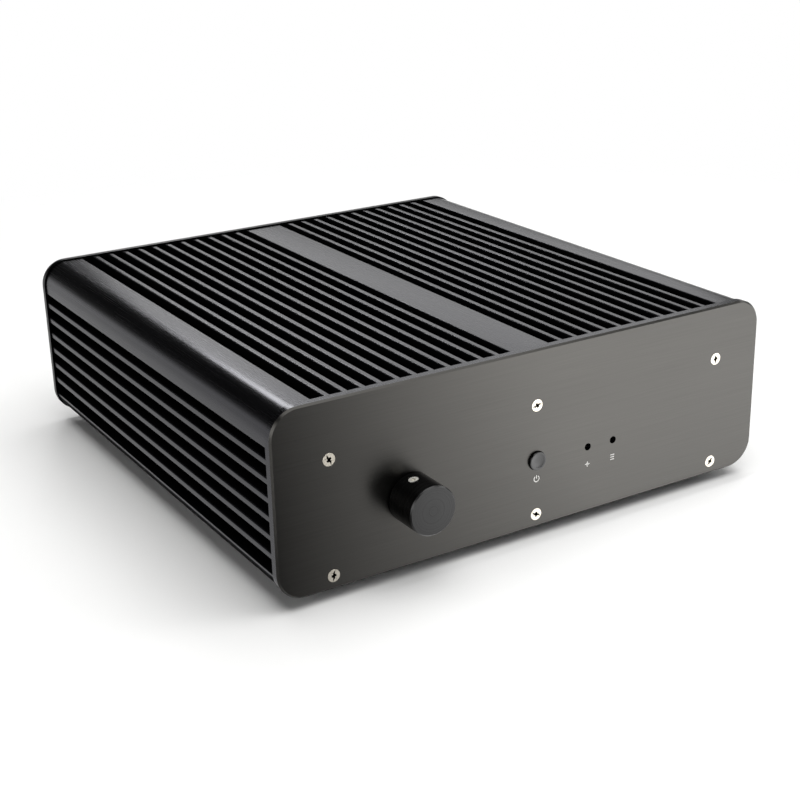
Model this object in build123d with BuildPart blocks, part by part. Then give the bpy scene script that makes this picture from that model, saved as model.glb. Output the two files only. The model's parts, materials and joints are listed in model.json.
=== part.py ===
from build123d import *
import os
from math import atan2, cos, degrees, floor, radians, sin, sqrt

os.makedirs("parts", exist_ok=True)

# Fanless desktop case in black aluminium for a 170 mm square motherboard.
# A finned extrusion is roof and both sides, closed by a front panel, a rear panel and a base plate.
# Frame: +X to the right seen from the front, +Y to the rear, +Z up, origin on the surface that the
# feet stand on, in the middle of the whole from the knob's face to the power inlet's flange.
# All sizes in millimetres.

# Motherboard, its four holes and its port opening
board_w = 170.0             # the board is square
board_t = 1.6
board_hole_side = 6.26      # both columns of holes, in from the side edges
board_hole_front = 4.9      # front row, back from the front edge
board_hole_rear_left = 10.16
board_hole_rear_right = 33.02
port_margin = 5.625         # port opening, in from the board's side edges
port_h = 44.45
port_drop = 3.81            # port opening's lower edge, below the board's upper face

# Room round the board
board_side_gap = 3.0        # board to flange
board_rear_gap = 1.2        # board to rear panel
front_bay = 65.8            # board to front panel
bay_h = 61.1                # base plate to roof

# Extrusion
wall = 4.0
flange_w = 18.3
flange_t = 5.1
bay_r = 4.0
web_r = 1.0
corner_r = 12.0             # of the panels; the extrusion's corners are concentric with it
lip = 0.7                   # how far the panels stand out past the extrusion
fin_h = 9.0
fin_tip_t = 2.5
fin_root_t = 3.1
fin_pitch = 7.7
fin_tip_r = 0.4
fin_root_r = 0.8
slot_min = 3.0              # narrowest slot left beside a shoulder
band_w = 19.1               # flat band along the middle of the roof
band_to_fin = 6.05          # band's edge to the middle of the first fin
shoulder_w = 19.66          # plain corner, across the top
shoulder_h = 14.8           # plain corner, down the side
shoulder_to_fin = 5.75      # its lower edge to the middle of the first fin
foot_band_h = 9.7           # plain band along the bottom of each side

# Screw bosses and screws
boss_r = 3.5
boss_web = 3.0
corner_screw_in = 24.0      # in from the panels' side edges
upper_screw_drop = 10.2     # below the roof
screw_r = 1.5
countersunk_r = 2.7
pan_head_r = 2.75
pan_head_h = 2.0
pan_edge_r = 0.4
thread_gap = 0.03           # screw in its tapped hole
seat_gap = 0.05             # countersunk head in its seat
hole_gap = 0.2              # screw or part in a plain hole
recess_w = 0.8
recess_span = 3.0
recess_depth = 1.0
tap_spare = 0.4             # tapped hole past the screw's end

# End panels
front_t = 4.0
front_bevel = 0.8
front_screw_l = 10.0
rear_t = 3.0
rear_bevel = 0.3
rear_screw_l = 8.0

# Base plate and feet
base_t = 2.5
base_gap = 0.2
base_screw_in = 4.3         # in from the base plate's side edges
base_screw_end = 13.5       # in from its front and rear edges
base_screw_l = 6.0
base_screw_count = 4        # along each side
block_w = 16.0
block_l = 16.0
block_screw_back = 12.0     # upright screw, back from the front panel
block_tap = 8.0
foot_h = 5.7
foot_top_r = 9.0
foot_bottom_r = 8.0
foot_recess_r = 4.2
foot_recess_h = 3.2
foot_edge_r = 0.6
foot_in_x = 24.0
foot_in_y = 22.0

# Board standoffs
standoff_h = 6.35
standoff_flats = 5.5
standoff_shank_r = 2.0
press_gap = 0.02
standoff_tap = 6.0

# Volume knob and its rotary encoder
knob_in = 59.3              # axis, in from the panel's left edge
knob_up = 29.8              # axis, above the panel's lower edge
knob_r = 10.3
knob_l = 15.4
knob_bevel = 0.5
knob_gap = 0.8              # knob to panel
knob_recess_r = 6.8
knob_floor_gap = 0.4        # bush to the floor of the knob's recess
grub_r = 2.0
grub_out = 5.6              # in front of the panel
grub_tilt = 12.0            # degrees from upright, towards the left
grub_sink = 0.2
grub_socket_r = 1.0
grub_socket_depth = 1.6
shaft_r = 3.0
shaft_flat = 0.6            # depth of the flat
shaft_out = 12.2            # in front of the panel
shaft_in = 4.0              # into the encoder's housing
turn_gap = 0.05
bush_r = 3.5
bush_tail = 0.5             # past the nut
washer_r = 5.4
washer_t = 0.5
nut_flats = 10.0
nut_t = 2.0
encoder_w = 12.5
encoder_h = 13.2
encoder_d = 6.5
encoder_edge_r = 1.0
encoder_board_w = 26.0
pcb_t = 1.6                 # both small boards

# Power button, its switch and the two indicators
button_up = 30.0
button_r = 4.0
button_out = 1.2
button_dish = 0.5
button_edge_r = 0.3
button_flange_r = 5.4
button_flange_t = 1.2
button_flange_gap = 0.2
button_stem_r = 1.7
button_travel = 0.8
switch_w = 6.0
switch_d = 3.5
plunger_r = 1.7
plunger_out = 1.1
plunger_in = 1.2
indicator_up = 29.6
indicator_1_x = 26.4
indicator_2_x = 39.75
led_r = 1.5
led_l = 5.0
led_flange_r = 1.95
led_flange_t = 1.0
led_hole_gap = 0.1
led_sink = 2.4              # tip behind the panel's face
led_lead_r = 0.25
led_lead_pitch = 2.54

# Control board behind the front panel
control_margin_x = 13.0     # past the button and the outer indicator
control_h = 28.0
control_up = 28.0           # its middle, above the panel's lower edge
stud_in = 4.0
stud_h = 8.0
stud_r = 2.5
stud_shank_r = 1.8
stud_sink = 1.5
small_screw_r = 1.25
small_head_r = 2.2
small_head_h = 1.5
small_screw_bite = 4.0
header_w = 12.0
header_h = 5.0
header_d = 6.0
header_wall = 0.8

# Power inlet in the rear panel
inlet_up = 24.0             # above the base plate
inlet_r = 4.0
inlet_flange_r = 5.6
inlet_flange_t = 1.2
inlet_l = 12.0
inlet_nut_t = 2.0
inlet_bore_r = 2.85
inlet_bore_depth = 9.5
inlet_pin_r = 1.05
inlet_pin_back = 1.0        # pin's end behind the mouth
inlet_tab_w = 2.4
inlet_tab_t = 0.4
inlet_tab_l = 4.0

# Processor block, heat pipes and the plates that carry heat to the roof
cpu_h = 7.8                 # processor's top above the board
cpu_from_rear = 70.0        # its middle, from the board's rear edge
pipe_count = 4
pipe_d = 6.0
pipe_pitch = 10.0
pipe_gap = 0.03
pipe_bend_r = 15.0
pipe_lead = 3.0
pipe_tip = 4.0
pipe_bevel = 1.4
plate_margin = 7.0          # outer pipe to the plates' side edges
cold_plate_t = 6.0
cold_pad_w = 37.5
cold_pad_t = 1.0
pipe_cap_t = 6.0
cold_plate_l = 50.0         # along the pipes
plate_screw_end = 8.0       # in from the plates' ends
spreader_t = 5.5
spreader_l = 60.0
spreader_gap = 1.5          # to the middle boss
clamp_t = 5.5
roof_skin = 0.8             # left above the tapped holes in the roof
cpu_hole_pitch = 75.0
cpu_hole_r = 2.1
bracket_t = 2.5
bracket_arm_w = 10.0

snap = 0.01                 # for picking corners by their place

# Places worked out from the sizes above
flange_x = board_w / 2 + board_side_gap
bay_x = flange_x + flange_w
wall_x = bay_x + wall
body_x = wall_x + fin_h
panel_x = body_x + lip
port_x = board_w / 2 - port_margin
screw_x = panel_x - corner_screw_in
screw_columns = (-screw_x, 0, screw_x)
band_x = band_w / 2
shoulder_x = body_x - shoulder_w

body_l = board_rear_gap + board_w + front_bay
body_y = ((front_t + knob_gap + knob_l) - (rear_t + inlet_flange_t)) / 2
front_in = body_y - body_l / 2
front_face = front_in - front_t
rear_in = body_y + body_l / 2
rear_face = rear_in + rear_t
board_rear = rear_in - board_rear_gap
board_front = board_rear - board_w

body_z0 = foot_h
panel_z0 = body_z0 - lip
base_top = body_z0 + base_t
flange_top = base_top + flange_t
roof_z = base_top + bay_h
slot_z = roof_z + wall
body_z1 = slot_z + fin_h
panel_h = body_z1 + lip - panel_z0
panel_mid = panel_z0 + panel_h / 2
shoulder_z = body_z1 - shoulder_h
foot_band_z = body_z0 + foot_band_h
board_z = base_top + standoff_h
board_top = board_z + board_t
port_z = board_top - port_drop
upper_z = roof_z - upper_screw_drop
lower_z = base_top + flange_t / 2

tap_r = screw_r + thread_gap
free_r = screw_r + hole_gap
small_tap_r = small_screw_r + thread_gap

top_span = shoulder_x - band_x
top_fins = floor((top_span - band_to_fin - fin_tip_t / 2 - slot_min) / fin_pitch) + 1
top_fin_x = [band_x + band_to_fin + n * fin_pitch for n in range(top_fins)]
side_span = shoulder_z - foot_band_z
side_fins = floor((side_span - shoulder_to_fin - fin_tip_t / 2 - slot_min) / fin_pitch) + 1
side_fin_z = [shoulder_z - shoulder_to_fin - n * fin_pitch for n in range(side_fins)]
fin_angle = degrees(atan2(fin_h, (fin_root_t - fin_tip_t) / 2))

knob_x = knob_in - panel_x
knob_z = panel_z0 + knob_up
button_z = panel_z0 + button_up
led_z = panel_z0 + indicator_up
front_screws = [(x, z) for x in screw_columns for z in (lower_z, upper_z)]
rear_screws = [(x, z) for x in (-screw_x, screw_x) for z in (lower_z, upper_z)]

base_screw_x = bay_x - base_screw_in
base_screw_pitch = (body_l - 2 * base_screw_end) / (base_screw_count - 1)
block_screw_y = front_in + block_screw_back
board_hole_x = board_w / 2 - board_hole_side
standoff_places = [
    (-board_hole_x, board_rear - board_hole_rear_left),
    (board_hole_x, board_rear - board_hole_rear_right),
    (-board_hole_x, board_front + board_hole_front),
    (board_hole_x, board_front + board_hole_front),
]
foot_x = bay_x - foot_in_x
foot_y = body_l / 2 - foot_in_y     # from the body's middle
foot_screw_l = foot_h - foot_recess_h + base_t
inlet_x = -(port_x + bay_x) / 2
inlet_z = base_top + inlet_up

knob_back = front_face - knob_gap
bush_end = front_face - washer_t - nut_t - bush_tail
knob_floor = bush_end - knob_floor_gap
shaft_end = front_face - shaft_out
encoder_rear = front_in + encoder_d
grub_dir = (-sin(radians(grub_tilt)), 0, cos(radians(grub_tilt)))
grub_frame = Plane(origin=(knob_x, front_face - grub_out, knob_z), x_dir=(0, 1, 0), z_dir=grub_dir)

control_front = front_in + stud_h
control_x0 = -control_margin_x
control_x1 = indicator_2_x + control_margin_x
control_x = (control_x0 + control_x1) / 2
control_z = panel_z0 + control_up
stud_pitch_x = control_x1 - control_x0 - 2 * stud_in
stud_pitch_z = control_h - 2 * stud_in
flange_rear = front_in + button_flange_gap + button_flange_t
switch_front = control_front - switch_d
plunger_tip = switch_front - plunger_out
cap_front = front_face - button_out
dish_rim = button_r - 2 * button_edge_r
dish_r = (dish_rim ** 2 + button_dish ** 2) / (2 * button_dish)
led_rear = front_face + led_sink + led_l

pipe_r = pipe_d / 2
plate_w = (pipe_count - 1) * pipe_pitch + pipe_d + 2 * plate_margin
plate_screw_pitch = plate_w - plate_margin
kit_x = boss_r + spreader_gap + plate_w / 2
pipe_x = [kit_x + (n - (pipe_count - 1) / 2) * pipe_pitch for n in range(pipe_count)]
cpu_y = board_rear - cpu_from_rear
cpu_top = board_top + cpu_h
pipe_z0 = cpu_top + cold_plate_t
pipe_z1 = roof_z - spreader_t
cap_top = pipe_z0 + pipe_cap_t
bend_r = min(pipe_bend_r, (pipe_z1 - pipe_z0) / 2 - pipe_gap)
rise_y = cpu_y - cold_plate_l / 2 - pipe_lead - bend_r
spreader_rear = rise_y - bend_r - pipe_lead
spreader_y = spreader_rear - spreader_l / 2


def front_view(y):
    """Upright plane at depth y that faces the front, with local x to the right and local y up."""
    return Plane.XZ.offset(-y)


def rear_view(y):
    """Upright plane at depth y that faces the rear, with local x to the left and local y up."""
    return Plane(origin=(0, y, 0), x_dir=(-1, 0, 0), z_dir=(0, 1, 0))


def facing_down(x, y, z):
    """Level plane that faces the floor, for holes drilled and screws driven from below."""
    return Plane(origin=(x, y, z), x_dir=(1, 0, 0), z_dir=(0, 0, -1))


def facing_up(x, y, z):
    """Level plane that faces up."""
    return Plane(origin=(x, y, z), x_dir=(1, 0, 0), z_dir=(0, 0, 1))


def countersunk_screw(length):
    """Countersunk screw with a cross recess, its head's top at the origin and its end down."""
    head_h = countersunk_r - screw_r
    with BuildPart(mode=Mode.PRIVATE) as screw:
        with BuildSketch(Plane.XZ):
            with BuildLine():
                Polyline(
                    (0, 0), (countersunk_r, 0), (screw_r, -head_h),
                    (screw_r, -length), (0, -length), close=True)
            make_face()
        revolve(axis=Axis.Z)
        with BuildSketch(Plane.XY):
            Rectangle(recess_span, recess_w)
            Rectangle(recess_w, recess_span)
        extrude(amount=-recess_depth, mode=Mode.SUBTRACT)
    return screw.part


def pan_screw(radius, head_r, head_h, length):
    """Cheese-head screw with a cross recess, its head's seat at the origin and its end down."""
    with BuildPart(mode=Mode.PRIVATE) as screw:
        with BuildSketch(Plane.XY):
            Circle(head_r)
        extrude(amount=head_h)
        fillet(screw.edges().sort_by(Axis.Z)[-1], pan_edge_r)
        with BuildSketch(Plane.XY):
            Circle(radius)
        extrude(amount=-length)
        with BuildSketch(Plane.XY.offset(head_h)):
            Rectangle(recess_span, recess_w)
            Rectangle(recess_w, recess_span)
        extrude(amount=-recess_depth, mode=Mode.SUBTRACT)
    return screw.part


def fin_profile():
    """One fin standing at the origin: tapered, round at its tip and rooted in the wall below it."""
    with BuildSketch(mode=Mode.PRIVATE) as fin:
        Trapezoid(fin_root_t, fin_h, fin_angle, align=(Align.CENTER, Align.MIN))
        Rectangle(fin_pitch, wall / 2, align=(Align.CENTER, Align.MAX))
        fillet(fin.vertices().group_by(Axis.Y)[-1], fin_tip_r)
        fillet(fin.vertices().filter_by(lambda v: abs(v.Y) < snap and abs(v.X) < fin_root_t), fin_root_r)
    return fin.sketch


# Finned extrusion: roof, sides and bottom flanges in one, with five screw channels along it
with BuildPart() as body_extrusion:
    with BuildSketch(front_view(rear_in)) as section:
        with Locations((0, (body_z0 + body_z1) / 2)):
            RectangleRounded(2 * body_x, body_z1 - body_z0, corner_r - lip)
        with Locations((0, flange_top)):
            Rectangle(2 * bay_x, roof_z - flange_top, align=(Align.CENTER, Align.MIN), mode=Mode.SUBTRACT)
        with Locations((0, body_z0)):
            Rectangle(2 * flange_x, flange_top - body_z0, align=(Align.CENTER, Align.MIN), mode=Mode.SUBTRACT)
            Rectangle(2 * (bay_x + base_gap), base_t, align=(Align.CENTER, Align.MIN), mode=Mode.SUBTRACT)
        fillet(section.vertices().filter_by(
            lambda v: abs(abs(v.X) - bay_x) < snap and v.Y > flange_top - snap), bay_r)
        # Pockets for the fins: in the roof each side of the band, and in both sides
        for side, inner_edge in ((-1, Align.MAX), (1, Align.MIN)):
            with Locations((side * (band_x + shoulder_x) / 2, slot_z)):
                Rectangle(top_span, fin_h + lip, align=(Align.CENTER, Align.MIN), mode=Mode.SUBTRACT)
            with Locations((side * wall_x, foot_band_z)):
                Rectangle(fin_h + lip, side_span, align=(inner_edge, Align.MIN), mode=Mode.SUBTRACT)
        fillet(section.vertices().filter_by(lambda v: abs(v.Y - slot_z) < snap), fin_root_r)
        fillet(section.vertices().filter_by(lambda v: abs(abs(v.X) - wall_x) < snap), fin_root_r)
        fillet(section.vertices().filter_by(
            lambda v: abs(v.Y - body_z1) < snap and abs(v.X) < shoulder_x + snap), fin_tip_r)
        fillet(section.vertices().filter_by(
            lambda v: abs(abs(v.X) - body_x) < snap
            and foot_band_z - snap < v.Y < shoulder_z + snap), fin_tip_r)
        # Screw channels: three bosses hang from the roof on webs, two lie in the flanges
        with Locations(*[(x, upper_z) for x in screw_columns]):
            Rectangle(boss_web, upper_screw_drop + wall / 2, align=(Align.CENTER, Align.MIN))
        fillet(section.vertices().filter_by(
            lambda v: abs(v.Y - roof_z) < snap and abs(v.X) < screw_x + boss_r), web_r)
        with Locations(*[(x, upper_z) for x in screw_columns]):
            Circle(boss_r)
            Circle(tap_r, mode=Mode.SUBTRACT)
        with Locations(*[(x, lower_z) for x in (-screw_x, screw_x)]):
            Circle(tap_r, mode=Mode.SUBTRACT)
        # Fins: upright in the roof's pockets, pointing outwards at the sides
        upright_fins = [Location((side * x, slot_z, 0)) for side in (-1, 1) for x in top_fin_x]
        side_fins_out = [
            Location((side * wall_x, z, 0), (0, 0, -90 * side)) for side in (-1, 1) for z in side_fin_z]
        with Locations(*upright_fins, *side_fins_out):
            add(fin_profile())
    extrude(amount=body_l)
    with Locations(facing_down(0, body_y, base_top)):
        with GridLocations(2 * base_screw_x, base_screw_pitch, 2, base_screw_count):
            Hole(tap_r, depth=base_screw_l - base_t + tap_spare)
    with Locations(facing_down(kit_x, spreader_y, roof_z)):
        with GridLocations(plate_screw_pitch, spreader_l - 2 * plate_screw_end, 2, 2):
            Hole(tap_r, depth=wall - roof_skin)
body_extrusion.part.label = "body_extrusion"
export_step(body_extrusion.part, "parts/body_extrusion.step")

# Front panel: a brushed plate that overlaps the extrusion all round, with a bevelled front edge
with BuildPart() as front_panel:
    with BuildSketch(front_view(front_in)):
        with Locations((0, panel_mid)):
            RectangleRounded(2 * panel_x, panel_h, corner_r)
    extrude(amount=front_t)
    chamfer(front_panel.faces().sort_by(Axis.Y)[0].edges(), front_bevel)
    with Locations(front_view(front_face)):
        with Locations(*front_screws):
            CounterSinkHole(free_r, countersunk_r + seat_gap, counter_sink_angle=90)
        with Locations((knob_x, knob_z)):
            Hole(bush_r + hole_gap)
        with Locations((0, button_z)):
            Hole(button_r + hole_gap)
        with Locations((indicator_1_x, led_z), (indicator_2_x, led_z)):
            Hole(led_r + led_hole_gap)
    with BuildSketch(front_view(front_in)):
        with Locations((control_x, control_z)):
            with GridLocations(stud_pitch_x, stud_pitch_z, 2, 2):
                Circle(stud_shank_r + press_gap)
    extrude(amount=stud_sink, mode=Mode.SUBTRACT)
front_panel.part.label = "front_panel"
export_step(front_panel.part, "parts/front_panel.step")

# Rear panel: the same outline, with the board's port opening and the power inlet's hole
with BuildPart() as rear_panel:
    with BuildSketch(front_view(rear_face)):
        with Locations((0, panel_mid)):
            RectangleRounded(2 * panel_x, panel_h, corner_r)
        with Locations((0, port_z)):
            Rectangle(2 * port_x, port_h, align=(Align.CENTER, Align.MIN), mode=Mode.SUBTRACT)
        with Locations((inlet_x, inlet_z)):
            Circle(inlet_r + hole_gap, mode=Mode.SUBTRACT)
    extrude(amount=rear_t)
    chamfer(rear_panel.faces().sort_by(Axis.Y)[-1].outer_wire().edges(), rear_bevel)
    with Locations(rear_view(rear_face)):
        with Locations(*rear_screws):
            CounterSinkHole(free_r, countersunk_r + seat_gap, counter_sink_angle=90)
rear_panel.part.label = "rear_panel"
export_step(rear_panel.part, "parts/rear_panel.step")

# Base plate: fills the rebate between the flanges and carries the standoffs, feet and centre block
with BuildPart() as base_plate:
    with BuildSketch(Plane.XY.offset(body_z0)):
        with Locations((0, body_y)):
            Rectangle(2 * bay_x, body_l)
            with GridLocations(2 * foot_x, 2 * foot_y, 2, 2):
                Circle(tap_r, mode=Mode.SUBTRACT)
        with Locations(*standoff_places):
            Circle(standoff_shank_r + press_gap, mode=Mode.SUBTRACT)
    extrude(amount=base_t)
    with Locations(facing_down(0, body_y, body_z0)):
        with GridLocations(2 * base_screw_x, base_screw_pitch, 2, base_screw_count):
            CounterSinkHole(free_r, countersunk_r + seat_gap, depth=base_t, counter_sink_angle=90)
    with Locations(facing_down(0, block_screw_y, body_z0)):
        CounterSinkHole(free_r, countersunk_r + seat_gap, depth=base_t, counter_sink_angle=90)
base_plate.part.label = "base_plate"
export_step(base_plate.part, "parts/base_plate.step")

# Centre block: takes the front panel's lower middle screw
with BuildPart() as centre_block:
    with BuildSketch(Plane.XY.offset(base_top)):
        with Locations((0, front_in)):
            Rectangle(block_w, block_l, align=(Align.CENTER, Align.MIN))
    extrude(amount=flange_t)
    with Locations(front_view(front_in)):
        with Locations((0, lower_z)):
            Hole(tap_r, depth=block_tap)
    with Locations(facing_down(0, block_screw_y, base_top)):
        Hole(tap_r, depth=base_screw_l - base_t + tap_spare)
centre_block.part.label = "centre_block"
export_step(centre_block.part, "parts/centre_block.step")

# Rubber feet, each screwed through its recess into the base plate
feet = {"front_left": (-1, -1), "front_right": (1, -1), "rear_left": (-1, 1), "rear_right": (1, 1)}
for corner, (side, end) in feet.items():
    spot = Plane(origin=(side * foot_x, body_y + end * foot_y, 0), x_dir=(1, 0, 0), z_dir=(0, -1, 0))
    with BuildPart() as foot:
        with BuildSketch(spot) as foot_section:
            with BuildLine():
                Polyline(
                    (free_r, foot_h), (foot_top_r, foot_h), (foot_bottom_r, 0),
                    (foot_recess_r, 0), (foot_recess_r, foot_recess_h), (free_r, foot_recess_h), close=True)
            make_face()
            fillet(foot_section.vertices().filter_by(lambda v: abs(v.Y) < snap), foot_edge_r)
        revolve(axis=Axis(spot.origin, (0, 0, 1)))
    foot.part.label = f"foot_{corner}"
    export_step(foot.part, f"parts/foot_{corner}.step")

with BuildPart() as foot_screws:
    with Locations(facing_down(0, body_y, foot_recess_h)):
        with GridLocations(2 * foot_x, 2 * foot_y, 2, 2):
            add(pan_screw(screw_r, pan_head_r, pan_head_h, foot_screw_l))
foot_screws.part.label = "foot_screws"
export_step(foot_screws.part, "parts/foot_screws.step")

with BuildPart() as base_screws:
    with Locations(facing_down(0, body_y, body_z0)):
        with GridLocations(2 * base_screw_x, base_screw_pitch, 2, base_screw_count):
            add(countersunk_screw(base_screw_l))
    with Locations(facing_down(0, block_screw_y, body_z0)):
        add(countersunk_screw(base_screw_l))
base_screws.part.label = "base_screws"
export_step(base_screws.part, "parts/base_screws.step")

with BuildPart() as front_panel_screws:
    with Locations(front_view(front_face)):
        with Locations(*front_screws):
            add(countersunk_screw(front_screw_l))
front_panel_screws.part.label = "front_panel_screws"
export_step(front_panel_screws.part, "parts/front_panel_screws.step")

with BuildPart() as rear_panel_screws:
    with Locations(rear_view(rear_face)):
        with Locations(*rear_screws):
            add(countersunk_screw(rear_screw_l))
rear_panel_screws.part.label = "rear_panel_screws"
export_step(rear_panel_screws.part, "parts/rear_panel_screws.step")

# Four hexagonal standoffs pressed into the base plate
with BuildPart() as board_standoffs:
    with BuildSketch(Plane.XY.offset(base_top)):
        with Locations(*standoff_places):
            RegularPolygon(standoff_flats / 2, 6, major_radius=False)
    extrude(amount=standoff_h)
    with BuildSketch(Plane.XY.offset(body_z0)):
        with Locations(*standoff_places):
            Circle(standoff_shank_r)
    extrude(amount=base_t)
    with Locations(facing_up(0, 0, board_z)):
        with Locations(*standoff_places):
            Hole(tap_r, depth=standoff_tap)
board_standoffs.part.label = "board_standoffs"
export_step(board_standoffs.part, "parts/board_standoffs.step")

# Volume knob: a turned cap with a bevelled rim, hollow behind to clear the encoder's nut
with BuildPart() as volume_knob:
    with BuildSketch(front_view(knob_back)):
        with Locations((knob_x, knob_z)):
            Circle(knob_r)
    extrude(amount=knob_l)
    chamfer(volume_knob.faces().sort_by(Axis.Y)[0].edges(), knob_bevel)
    with BuildSketch(front_view(knob_back)):
        with Locations((knob_x, knob_z)):
            Circle(knob_recess_r)
    extrude(amount=knob_back - knob_floor, mode=Mode.SUBTRACT)
    with BuildSketch(front_view(knob_floor)):
        with Locations((knob_x, knob_z)):
            Circle(shaft_r + press_gap)
    extrude(amount=knob_floor - shaft_end + tap_spare, mode=Mode.SUBTRACT)
    with BuildSketch(grub_frame):
        Circle(grub_r + thread_gap)
    extrude(amount=knob_r + knob_gap, mode=Mode.SUBTRACT)
volume_knob.part.label = "volume_knob"
export_step(volume_knob.part, "parts/volume_knob.step")

with BuildPart() as knob_grub_screw:
    grub_l = knob_r - grub_sink - (shaft_r - shaft_flat)
    with BuildSketch(grub_frame.offset(shaft_r - shaft_flat)):
        Circle(grub_r)
    extrude(amount=grub_l)
    with BuildSketch(grub_frame.offset(knob_r - grub_sink)):
        RegularPolygon(grub_socket_r, 6, major_radius=False)
    extrude(amount=-grub_socket_depth, mode=Mode.SUBTRACT)
knob_grub_screw.part.label = "knob_grub_screw"
export_step(knob_grub_screw.part, "parts/knob_grub_screw.step")

# Encoder shaft, with the flat that the grub screw bears on
with BuildPart() as encoder_shaft:
    with BuildSketch(front_view(front_in + shaft_in)):
        with Locations((knob_x, knob_z)):
            Circle(shaft_r)
    extrude(amount=front_in + shaft_in - shaft_end)
    with BuildSketch(grub_frame.offset(shaft_r - shaft_flat)):
        Rectangle(2 * (front_face - grub_out - shaft_end), 2 * shaft_r)
    extrude(amount=shaft_r, mode=Mode.SUBTRACT)
encoder_shaft.part.label = "encoder_shaft"
export_step(encoder_shaft.part, "parts/encoder_shaft.step")

with BuildPart() as encoder_housing:
    with BuildSketch(front_view(encoder_rear)):
        with Locations((knob_x, knob_z)):
            Rectangle(encoder_w, encoder_h)
    extrude(amount=encoder_d)
    fillet(encoder_housing.edges().filter_by(Axis.Y), encoder_edge_r)
    with Locations(front_view(front_in)):
        with Locations((knob_x, knob_z)):
            Hole(shaft_r + turn_gap, depth=shaft_in + tap_spare)
encoder_housing.part.label = "encoder_housing"
export_step(encoder_housing.part, "parts/encoder_housing.step")

# Threaded bush through the front panel, with its washer and nut under the knob
with BuildPart() as encoder_bush:
    with BuildSketch(front_view(front_in)):
        with Locations((knob_x, knob_z)):
            Circle(bush_r)
            Circle(shaft_r + turn_gap, mode=Mode.SUBTRACT)
    extrude(amount=front_in - bush_end)
encoder_bush.part.label = "encoder_bush"
export_step(encoder_bush.part, "parts/encoder_bush.step")

with BuildPart() as encoder_washer:
    with BuildSketch(front_view(front_face)):
        with Locations((knob_x, knob_z)):
            Circle(washer_r)
            Circle(bush_r + thread_gap, mode=Mode.SUBTRACT)
    extrude(amount=washer_t)
encoder_washer.part.label = "encoder_washer"
export_step(encoder_washer.part, "parts/encoder_washer.step")

with BuildPart() as encoder_nut:
    with BuildSketch(front_view(front_face - washer_t)):
        with Locations((knob_x, knob_z)):
            RegularPolygon(nut_flats / 2, 6, major_radius=False)
            Circle(bush_r + thread_gap, mode=Mode.SUBTRACT)
    extrude(amount=nut_t)
encoder_nut.part.label = "encoder_nut"
export_step(encoder_nut.part, "parts/encoder_nut.step")

with BuildPart() as encoder_board:
    with BuildSketch(front_view(encoder_rear + pcb_t)):
        with Locations((knob_x, knob_z)):
            Rectangle(encoder_board_w, encoder_board_w)
    extrude(amount=pcb_t)
encoder_board.part.label = "encoder_board"
export_step(encoder_board.part, "parts/encoder_board.step")

# Power button: a dished cap with a flange behind the panel and a stem down to the switch
with BuildPart() as power_button:
    with BuildSketch(front_view(flange_rear - button_flange_t)):
        with Locations((0, button_z)):
            Circle(button_r)
    extrude(amount=flange_rear - button_flange_t - cap_front)
    fillet(power_button.edges().sort_by(Axis.Y)[0], button_edge_r)
    with BuildSketch(front_view(flange_rear)):
        with Locations((0, button_z)):
            Circle(button_flange_r)
    extrude(amount=button_flange_t)
    with BuildSketch(front_view(plunger_tip)):
        with Locations((0, button_z)):
            Circle(button_stem_r)
    extrude(amount=plunger_tip - flange_rear)
    with Locations((0, cap_front + button_dish - dish_r, button_z)):
        Sphere(dish_r, mode=Mode.SUBTRACT)
power_button.part.label = "power_button"
export_step(power_button.part, "parts/power_button.step")

with BuildPart() as switch_plunger:
    with BuildSketch(front_view(switch_front + plunger_in)):
        with Locations((0, button_z)):
            Circle(plunger_r)
    extrude(amount=plunger_in + plunger_out)
switch_plunger.part.label = "switch_plunger"
export_step(switch_plunger.part, "parts/switch_plunger.step")

with BuildPart() as power_switch:
    with BuildSketch(front_view(control_front)):
        with Locations((0, button_z)):
            Rectangle(switch_w, switch_w)
    extrude(amount=switch_d)
    with Locations(front_view(switch_front)):
        with Locations((0, button_z)):
            Hole(plunger_r + turn_gap, depth=plunger_in + button_travel + hole_gap)
power_switch.part.label = "power_switch"
export_step(power_switch.part, "parts/power_switch.step")

# Indicators: domed lenses set back in their holes, on two leads each
for name, x in (("power_indicator", indicator_1_x), ("drive_indicator", indicator_2_x)):
    led_axis = Plane(origin=(x, 0, led_z), x_dir=(1, 0, 0), z_dir=(0, 0, 1))
    with BuildPart() as indicator:
        with BuildSketch(led_axis):
            with BuildLine():
                Polyline(
                    (0, led_rear - led_l), (0, led_rear), (led_flange_r, led_rear),
                    (led_flange_r, led_rear - led_flange_t), (led_r, led_rear - led_flange_t),
                    (led_r, led_rear - led_l + led_r))
                CenterArc((0, led_rear - led_l + led_r), led_r, 270, 90)
            make_face()
        revolve(axis=Axis((x, 0, led_z), (0, 1, 0)))
    indicator.part.label = name
    export_step(indicator.part, f"parts/{name}.step")

with BuildPart() as indicator_leads:
    with BuildSketch(front_view(control_front)):
        with Locations((indicator_1_x, led_z), (indicator_2_x, led_z)):
            with GridLocations(led_lead_pitch, 0, 2, 1):
                Circle(led_lead_r)
    extrude(amount=control_front - led_rear)
indicator_leads.part.label = "indicator_leads"
export_step(indicator_leads.part, "parts/indicator_leads.step")

# Control board on four studs that are pressed into the front panel
with BuildPart() as control_board:
    with BuildSketch(front_view(control_front + pcb_t)):
        with Locations((control_x, control_z)):
            Rectangle(control_x1 - control_x0, control_h)
            with GridLocations(stud_pitch_x, stud_pitch_z, 2, 2):
                Circle(small_screw_r + hole_gap, mode=Mode.SUBTRACT)
    extrude(amount=pcb_t)
control_board.part.label = "control_board"
export_step(control_board.part, "parts/control_board.step")

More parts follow.
